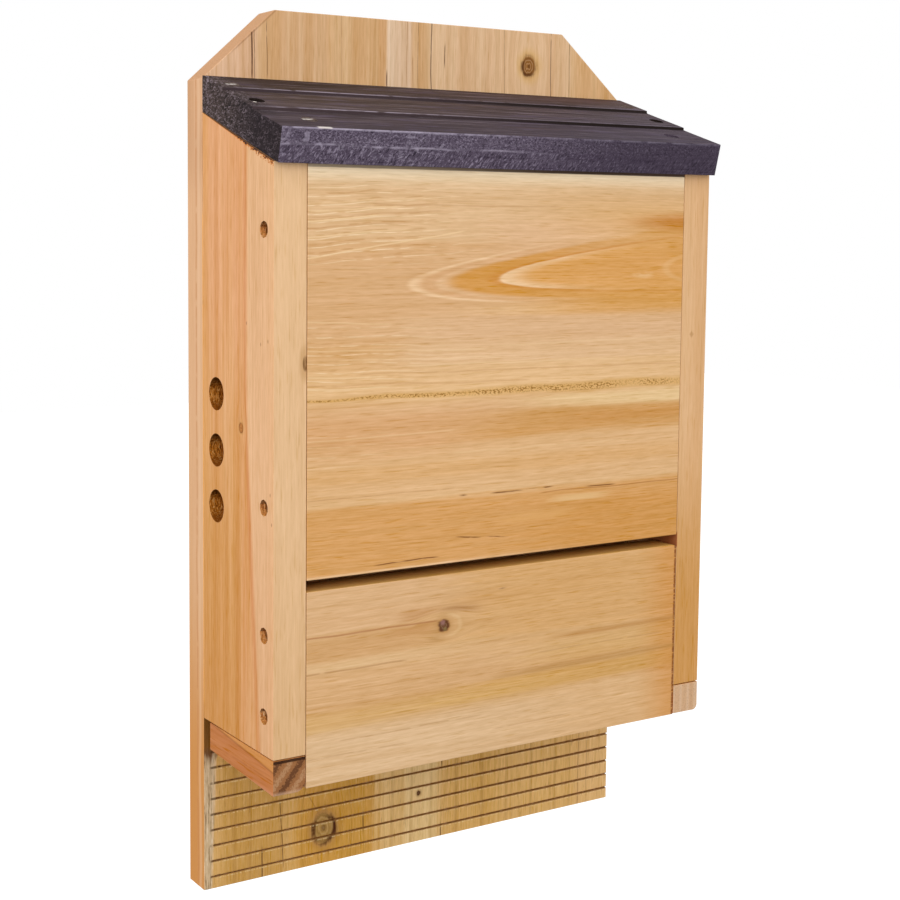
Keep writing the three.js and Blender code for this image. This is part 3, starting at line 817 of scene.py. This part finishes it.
# Painted light and shade at the panel's top and bottom edges.
roof_shadow_line = upper.straight.rise(211.1, 211.7)
upper.coats(
    upper.flat_face,
    # Painted light: the top is paler, against the roof overhang's shade.
    ("F2D6AE", upper.straight.rise(198, 211) * 0.55),
    ("FFE8C4", upper.straight.rise(203, 211) * 0.75),
    # Painted shadow: a thin dark line right under the roof.
    ("341E18", roof_shadow_line * (upper.along.rise(-20, 180) * 0.4 + 0.55)),
    # Painted highlight along the bottom arris.
    ("F2CFA6", upper.straight.rise(1.8, 0.7) * upper.along.rise(220, 60) * 0.6),
)
upper.grain()
light_lines = (
    (-5, 95, 172, 0.145, 0.6), (-5, 60, 178, 0.07, 0.5), (-5, 42, 185.5, 0.07, 0.7),
    (-5, 55, 190.5, 0.05, 0.6), (-5, 70, 195, 0.05, 0.35), (-5, 50, 132, -0.05, 0.4),
    (-5, 110, 117, -0.03, 0.35), (-5, 45, 104, -0.04, 0.5), (-5, 50, 98, -0.03, 0.5),
    (60, 200, 108, -0.01, 0.3), (20, 120, 112, -0.02, 0.3), (120, 250, 118, 0.01, 0.25),
    (-5, 90, 72, 0.01, 0.3), (90, 220, 60, 0, 0.25),
)
for start, end, place, slope, strength in light_lines:
    upper.line((start, end), place, 0.8, strength, slope, 0.25, "F0CFA0")
dark_lines = (
    (-5, 60, 182, 0.05), (-5, 80, 188, 0.05), (40, 160, 193, 0), (-5, 140, 99, -0.02),
    (30, 250, 104, -0.01),
)
for start, end, place, slope in dark_lines:
    upper.line((start, end), place, 0.9, 0.3, slope, 0.35, "B98450")
specks = upper.noise(1.5, 0.9, 500, detail=1, shift=31).rise(0.46, 0.6)
patches = upper.noise(26, 500, 500, detail=1, shift=32).rise(0.36, 0.6) * 0.65 + 0.35
fleck_line = abs(upper.straight - 92.5 + upper.kink * 2.5) / (upper.along.rise(20, 170) * 0.65 + 0.45)
fleck_line = fleck_line + (1 - upper.along.rise(-80, 60)) * 2
upper.paint("D6A450", fleck_line.rise(3.6, 0.8) * 0.5)
upper.paint("946626", fleck_line.rise(2.6, 0.5) * specks * patches * 0.9)
upper.lines(
    ((117, 157), 36.4, 0.75, 0.85, 0.0, 0.46, "74441A"),
    ((96, 98), 36.6, 1, 0.9, 0.0, 0.05, "6A3A10"),
    ((183, 202), 34.6, 0.7, 0.85, 0.0, 0.35, "74441A"),
    ((150, 260), 33.6, 0.6, 0.5, 0.0, 0.3, "9A5E20"),
    ((94, 126), 12.4, 0.75, 0.8, -0.08, 0.48, "744210"),
    ((42, 80), 4.2, 0.7, 0.8, 0.0, 0.42, "6E3A10"),
    ((0, 90), 41, 0.5, 0.3, 0.0, 0.35, "A06A30"),
)
upper.zone("E6BF88", 0.6, (27.5, 31), 0.8, (160, 196), 10)
upper.zone("DDA868", 0.6, (19, 23), 1.5, (125, 170), 10)
dress(upper, "bare_wood")

# The lower front panel is a plainer board of the same wood, with one small loose knot.
# Its upper right corner has lost its edge.
lower_knot = (75.5 + 9.7, 75.5, 3.6)
lower = Timber("front_panel_lower", "xzy", seed=6, knots=[lower_knot], wander=4)
lower.colour_with(pale="DEB98A", body="D7AB79", deep="C59055", dark="5C2E10")
lower.zones(
    ("DAB083", 0.8, (80, 110), 4, (-50, 95)),
    ("CFA06C", 0.85, (66, 78), 2.5, (-50, 80)),
    ("D4A46A", 0.8, (60, 110), 8, (100, 300), 50),
    ("D8AC7C", 0.7, (36, 60), 6, (-50, 140), 40),
    ("CFA05C", 0.5, (43, 58), 5, (150, 300), 40),
    ("CF9F5A", 0.75, (31, 41), 2.5, (90, 300), 60),
    ("D3A766", 0.5, (27, 38), 3, (-50, 150), 40),
    ("DCB88E", 0.85, (-10, 26), 4, (-50, 190), 60),
    ("DBB180", 0.7, (-10, 26), 4, (150, 300), 60),
)
lower.paint("D0904A", (lower.along + (lower.broad - 0.5) * 10).rise(218, 251) * 0.72)
# Painted shade: a dark ragged line at the panel's right end, in the narrow gap beside the right side
# panel.
right_gap_shade = (lower.along + (lower.fine - 0.5) * 1.6).rise(249.4, 250.4)
lower.paint("7A3E16", right_gap_shade * lower.hair.rise(0.35, 0.5) * 0.85)
top_face = lower.edge_face * lower.straight.rise(90, 100)
lower.paint("CC9E50", top_face * 0.8)
# Painted shade: the top face darkens towards the back of the air slot.
lower.paint("6E4416", top_face * lower.through.rise(10, 18) * 0.6)
lower.zones(
    ("9E6C38", 0.65, (80, 84), 2.6, (84, 106), 9),
    ("C08A50", 0.6, (73.5, 77), 1.5, (50, 80), 10),
    ("BC8650", 0.5, (80, 86), 1.5, (58, 80), 8),
    ("B08244", 0.5, (69, 73), 1.5, (76, 84), 5),
)
lower.grain()
lower.zone("B47E3E", 0.55, (58.8, 61), 1.2, (165, 300), 15)
lower.line((-10, 60), 59.8, 1.0, 0.4, 0.0, 0.35, "9E6A34")
lower.zone("B08040", 0.5, (41.4, 43.8), 1.3, (125, 300))
lower.line((-10, 82), 78.7, 0.9, 0.55, 0.0, 0.2, "A2643A")
for start, end, place in ((0, 60, 14.5), (120, 170, 13), (20, 110, 22), (150, 240, 52)):
    lower.line((start, end), place, 0.8, 0.3, 0.0, 0.4, "A87844")
lower.line((123, 125), 91.5, 0.8, 0.6, 0.0, 0.05)
arcs = abs(lower.distance(85.2, 75.5, stretch=1.9) - 6 + (lower.gaps - 0.5) * 2)
lower.paint("EACB9C", arcs.rise(1.1, 0.2) * lower.along.rise(85, 91) * 0.22)
lower.knot(*lower_knot, heart="6A4630", halo="B98A52")
above_heart = lower.distance(84.5, 77.2) + (lower.fine - 0.5) * 2
lower.paint("9C7068", above_heart.rise(2.2, 0.8) * 0.7)
below_heart = lower.distance(86, 73.6) + (lower.fine - 0.5) * 2
lower.paint("8A7442", below_heart.rise(1.8, 0.6) * 0.65)


def upper_right_corner(edge):
    """The short edge where the lower panel's top meets its right end."""
    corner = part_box("front_panel_lower")[1].xz
    return all((vert.co.xz - corner).length < mm for vert in edge.verts)


dress(lower, "bare_wood", ease=0.35, rounded=upper_right_corner)

# The roof is one sloping board stained nearly black, with two shallow steps sawn along its top.
# It is screwed down into the side panels and the upper front panel.
roof_step_shares = (0.285, 0.65)
low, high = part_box("roof_board")
roof_depth = (high.y - low.y) / mm
roof_steps = [roof_depth * (1 - step) for step in roof_step_shares]

roof = Timber("roof_board", "xyz", seed=7, wander=3)
roof.colour_with(pale="5C4A44", body="46372F", deep="32261F", dark="130A08")
strands = roof.noise(60, 1.1, 1.1, detail=3, roughness=0.7, shift=45)
grit = roof.noise(1.7, 2.8, 1.5, detail=3, roughness=0.75, shift=47, swirl=1.2)
clusters = roof.noise(9, 9, 6, detail=1, shift=49).rise(0.35, 0.65)
blooms = roof.noise(40, 7, 500, detail=3, roughness=0.7, shift=52).rise(0.52, 0.66)
roof.coats(
    roof.flat_face,
    ("4C4052", roof.straight.rise(62, 5) * 0.4 + roof.along.rise(60, 280) * 0.35),
    ("85757E", strands.rise(0.54, 0.68) * 0.7),
    ("211719", strands.rise(0.48, 0.35) * 0.8),
    ("2A2026", roof.straight.rise(45, 12) * 0.3),
    ("5E5066", blooms * 0.35),
    ("5A3622", roof.streak.rise(0.62, 0.8) * roof.along.rise(60, 160) * 0.4),
)
front_face = roof.edge_face * roof.straight.rise(12, 6)
upper_half = roof.through.rise(8.6, 9.6)
scuffs = roof.noise(1.3, 500, 2.6, detail=3, roughness=0.8, shift=43, slant=0.6, swirl=0.8)
mottle = roof.noise(1.4, 500, 1.1, detail=3, roughness=0.8, shift=46, swirl=0.8)
scuffs = scuffs + (mottle - scuffs) * upper_half
wisps = roof.noise(5, 500, 5, detail=2, roughness=0.7, shift=44, slant=0.35, swirl=1)
lighter = (roof.along + (roof.broad - 0.5) * 60).rise(225, 130)
rub = abs(roof.through - 9.4 + roof.kink * 2).rise(0.8, 0.1)
rub = rub * (roof.gaps.rise(0.4, 0.55) * 0.8 + 0.2)
crest = (roof.through - 16.5).rise(0, 0.9) * (roof.along.rise(170, 60) * 0.7 + 0.25)
roof.coats(
    front_face,
    ("433949", 0.95),
    ("564B5B", lighter * 0.85),
    ("665B6B", lighter * upper_half * 0.3),
    ("998EA1", scuffs.rise(0.52, 0.66) * (roof.along.rise(260, 110) * 0.55 + 0.15)),
    ("241D28", scuffs.rise(0.49, 0.36) * 0.8),
    ("AAA0B2", wisps.rise(0.56, 0.7) * roof.along.rise(180, 60) * 0.4),
    ("AEA4B6", rub * roof.along.rise(180, 110) * 0.5),
    ("BDB3C6", crest * roof.gaps.rise(0.35, 0.55) * 0.65),
)
roof.grain(fine=0.8, hair=0.3, streak=0.4, pores=0.6)
riser = roof.edge_face * roof.straight.rise(20, 30)
# The step risers are painted dark, a painted shade that deepens to the right, and lighter at the left.
roof.paint("4E4048", riser * roof.along.rise(230, 130) * 0.6)
roof.paint("120B0C", riser * (roof.along.rise(80, 230) * 0.6 + 0.2))
rear_strip = roof.flat_face * roof.straight.rise(62, 84)
roof.paint("241816", rear_strip * roof.along.rise(130, 30) * 0.4)
roof.paint("563A28", rear_strip * roof.along.rise(130, 270) * 0.5)
# Along each step: a painted highlight on the arris, strongest at the left, and a dark painted shade
# line at the step's foot, deepening to the right.
for step in roof_steps:
    arris_highlight = abs(roof.straight - step - 0.9 + roof.kink).rise(1.6, 0.3) * roof.gaps.rise(0.3, 0.5)
    step_shade = abs(roof.straight - step + 0.7).rise(1.5, 0.3)
    roof.coats(
        roof.flat_face,
        ("A094A2", arris_highlight * (roof.along.within(20, 110, 40) * 0.6 + 0.25)),
        ("120B0C", step_shade * (roof.along.rise(120, 240) * 0.6 + 0.08)),
    )
chip = roof.along.within(20.5, 28.5, 0.9) * roof.straight.rise(2.2, 1.4)
roof.paint("E4DAD4", chip * roof.through.rise(17.2, 17.5) * 0.8)
sawn = roof.end_face.most(roof.flat_face * roof.along.rise(17, 3) * roof.straight.rise(10, 50))
rear_rise = roof.straight.rise(20, 85)
roof.coats(
    sawn,
    ("282024", 0.9),
    ("55453F", rear_rise * 0.6),
    ("978790", grit.rise(0.52, 0.64) * (rear_rise * 0.3 + 0.25 + clusters * 0.35)),
    ("0A0609", grit.rise(0.49, 0.36) * 0.9),
    ("1E1219", roof.straight.rise(62, 12) * 0.45),
)


def inside_hole(off):
    """On the walls and the floor of a screw's counterbore, given its distance field."""
    return off.rise(counterbore_radius + 0.6, counterbore_radius + 0.2) * (1 - roof.flat_face)


roof_walls = ("7A6A62", "6A5A54", "8C7A72", "7A6A62", "7A6A62")
heads = {}
for side in ("left", "right"):
    for place in ("rear", "middle", "front"):
        middle = middle_of(f"roof_screw_{side}_{place}", low)
        heads[side, place] = roof.distance(middle.x, middle.y)
roof.bore(heads.values(), counterbore_radius, *roof_walls)
for place in ("rear", "front"):
    screw = f"roof_screw_left_{place}"
    head_top = (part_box(screw)[1].z - low.z) / mm
    # The far walls of the left rear and left front counterbores are painted near white: bare wood,
    # brightened as a painted highlight.
    bare_rim_highlight = roof.through.within(head_top + 1.5, head_top + 2, 0.12)
    beside = abs(roof.along - middle_of(screw, low).x)
    bare_rim_highlight = bare_rim_highlight * beside.rise(counterbore_radius * 0.85, counterbore_radius * 0.6)
    roof.paint("F4EAE2", inside_hole(heads["left", place]) * bare_rim_highlight * 0.95)
# Painted shade: the two middle counterbores are painted near black.
dark_holes = heads["left", "middle"].least(heads["right", "middle"])
roof.paint("140C0A", inside_hole(dark_holes) * 0.9)
roof.paint("564A5A", inside_hole(heads["right", "front"]) * 0.9)
# A small pale spot just in front of the left middle counterbore.
pale_spot = roof.distance(6.4, 42, stretch=0.9).rise(1.3, 0.7)
roof.paint("E8DCD2", pale_spot * roof.flat_face * 0.85)
look = {"end_colour": "3A3034", "end_strength": 0.0, "roughness": 0.74, "specular": 0.1}
dress(roof, "stained_wood", ease=0.3, sharp=25, **look)

# A short rail closes the grooves under each side panel and carries the partition.
# It is a darker offcut with its grain running from front to back, screwed on from below.
for side, seed in (("left", 8), ("right", 9)):
    rail = Timber("bottom_rail_" + side, "yxz", seed=seed, wander=2)
    rail.colour_with(pale="CF8C57", body="C47C48", deep="AE683A", dark="46220C")
    split = rail.through - 12.5 - rail.along * 0.085 + rail.kink * 0.8
    rail.paint("D4924E", split.rise(-0.5, 0.8) * 0.75)
    rail.paint("945626", abs(split).rise(1.1, 0.1) * 0.5)
    rail.paint("E0A080", rail.through.rise(2.8, 0.8) * (rail.along.rise(20, 80) * 0.4 + 0.35))
    saw_line = abs(rail.through - 7.5 + rail.kink * 2).rise(0.8, 0.1)
    rail.paint("A45E2C", saw_line * rail.gaps.rise(0.4, 0.55) * 0.4)
    rail.grain(fine=0.35, streak=0.2)
    if side == "left":
        band = (rail.straight * 0.76 - rail.through * 0.62) / 1.7 + rail.kink
        bands = band.wave() + (rail.noise(500, 1.3, 1.3, detail=3, roughness=0.7, shift=17) - 0.5) * 3
        rail.coats(
            rail.end_face,
            ("98663E", 0.95),
            ("5E3820", bands.rise(0.4, 0.8) * 0.85),
            ("BC9068", bands.rise(-0.4, -1) * 0.7),
            ("CCA484", rail.through.rise(2.4, 0.4) * 0.6),
        )
        # Painted shade: a dark line along the top of the left rail's ends, under the side panel.
        top_gap_shade = rail.end_face.rise(0.05, 0.3) * rail.through.rise(16.4, 17.0)
        rail.paint("341A08", top_gap_shade * 0.95)
    else:
        arcs = (rail.distance(0, -4) / 0.9).wave()
        rail.coats(
            rail.end_face,
            ("D6B08A", 0.9),
            ("BC8E68", arcs.rise(0.2, 0.9) * rail.straight.rise(6, 12) * 0.22),
            ("EED6BC", arcs.rise(-0.2, -0.9) * 0.2),
        )
    dress(rail, "rail_wood", ease=0.35, end_colour="A9846B", end_strength=0.0)

# Countersunk wood screws with a cross drive hold the box together, sunk in counterbores.
# They are steel with a bronze-brown coating, and all of one size.
screw_length = 42
head_radius = 3.8
head_chamfer = 0.25
head_rim = 0.6
head_depth = 2.8
core_radius = 1.4
crest_radius = 2
thread_pitch = 1.9
thread_length = 30
thread_foot = 0.45
tip_length = 6
tip_radius = 0.15
drive_reach = 2
drive_width = 0.55
drive_depth = 1.7
turn_steps = 24


def lathe(form, profile):
    """Turns a profile of radii and depths into a closed round body."""
    loops = []
    for radius, depth in profile:
        loop = []
        for i in range(turn_steps):
            angle = math.tau * i / turn_steps
            point = (radius * math.cos(angle) * mm, radius * math.sin(angle) * mm, -depth * mm)
            loop.append(form.verts.new(point))
        loops.append(loop)
    for above, below in zip(loops, loops[1:]):
        for i in range(turn_steps):
            j = (i + 1) % turn_steps
            form.faces.new((above[i], below[i], below[j], above[j]))
    form.faces.new(loops[0])
    form.faces.new(loops[-1][::-1])


body = bmesh.new()
head_profile = [
    (head_radius - head_chamfer, 0),
    (head_radius, head_chamfer),
    (head_radius, head_rim),
    (crest_radius, head_depth),
    (crest_radius - 0.2, screw_length - thread_length),
    (core_radius, screw_length - thread_length + 0.4),
    (core_radius, screw_length - tip_length),
    (tip_radius, screw_length - 0.4),
]
lathe(body, head_profile)
screw_mesh = bpy.data.meshes.new("wood_screw")
body.to_mesh(screw_mesh)
body.free()

cross = bmesh.new()
for long_x in (True, False):
    reach = (drive_reach, drive_width) if long_x else (drive_width, drive_reach)
    wide = Matrix.Diagonal((reach[0] * 2 * mm, reach[1] * 2 * mm, drive_depth * 2 * mm, 1))
    bmesh.ops.create_cube(cross, size=1, matrix=wide)
cross_mesh = bpy.data.meshes.new("cross_drive")
cross.to_mesh(cross_mesh)
cross.free()
pattern = stand("wood_screw", screw_mesh)
cutter = stand("cross_drive", cross_mesh)
recess = pattern.modifiers.new("cross_drive", "BOOLEAN")
recess.operation = "DIFFERENCE"
recess.object = cutter
recess.solver = "EXACT"
recess.use_self = True
dressed = pattern.evaluated_get(bpy.context.evaluated_depsgraph_get())
screw_mesh = bpy.data.meshes.new_from_object(dressed)
bpy.data.objects.remove(pattern)
bpy.data.objects.remove(cutter)

thread = bmesh.new()
thread.from_mesh(screw_mesh)
turns = (thread_length - 1) / thread_pitch
thread_root = core_radius * 0.98
rows = []
for i in range(int(turns * turn_steps) + 1):
    angle = math.tau * i / turn_steps
    depth = screw_length - thread_length + i * thread_pitch / turn_steps
    taper = min(1, (screw_length - 0.6 - depth) / tip_length)
    points = [(thread_root, -thread_foot), (crest_radius, 0), (thread_root, thread_foot)]
    row = []
    for radius, shift in points:
        reach = max(0.1, radius * taper) * mm
        point = (reach * math.cos(angle), reach * math.sin(angle), -(depth + shift) * mm)
        row.append(thread.verts.new(point))
    rows.append(row)
for above, below in zip(rows, rows[1:]):
    for k in range(2):
        thread.faces.new((above[k], above[k + 1], below[k + 1], below[k]))
thread.to_mesh(screw_mesh)
thread.free()



def coated(mesh, name, coat_colour, worn_colour):
    """Gives a screw's mesh a steel whose coating is worn in small patches."""
    steel = bpy.data.materials.new(name)
    steel.use_nodes = True
    nodes = steel.node_tree.nodes
    wear = nodes.new("ShaderNodeTexNoise")
    wear.inputs["Scale"].default_value = 900
    wear.inputs["Detail"].default_value = 3
    coat = nodes.new("ShaderNodeValToRGB")
    dark_end, light_end = coat.color_ramp.elements
    dark_end.position, dark_end.color = 0.4, rgb(coat_colour)
    light_end.position, light_end.color = 0.7, rgb(worn_colour)
    feed(coat.inputs["Fac"], wear.outputs["Fac"])
    shader = nodes["Principled BSDF"]
    feed(shader.inputs["Base Color"], coat.outputs["Color"])
    shader.inputs["Metallic"].default_value = 0.8
    shader.inputs["Roughness"].default_value = 0.4
    mesh.materials.clear()
    mesh.materials.append(steel)
    return mesh


screw_mesh = coated(screw_mesh, "bronzed_steel", "7E4C22", "CC9658")
stained_mesh = coated(screw_mesh.copy(), "stained_steel", "1E161C", "4C3E4A")

screw_ways = {
    "side_screw_left": (-1, 0, 0),
    "side_screw_right": (1, 0, 0),
    "roof_screw": (0, 0, 1),
    "back_screw": (0, 1, 0),
    "rail_screw": (0, 0, -1),
}
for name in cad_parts:
    for kind, way in screw_ways.items():
        if name.startswith(kind):
            way = Vector(way)
            low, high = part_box(name)
            middle = (low + high) / 2
            head = middle + way * abs((high - low).dot(way)) / 2
            mesh = stained_mesh if kind == "roof_screw" else screw_mesh
            piece = stand(name + "_steel", mesh)
            turn = Vector((0, 0, 1)).rotation_difference(way).to_matrix().to_4x4()
            twist = Matrix.Rotation(sum(map(ord, name)), 4, "Z")
            piece.matrix_world = Matrix.Translation(head) @ turn @ twist
            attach(piece, "root")
            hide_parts(name)
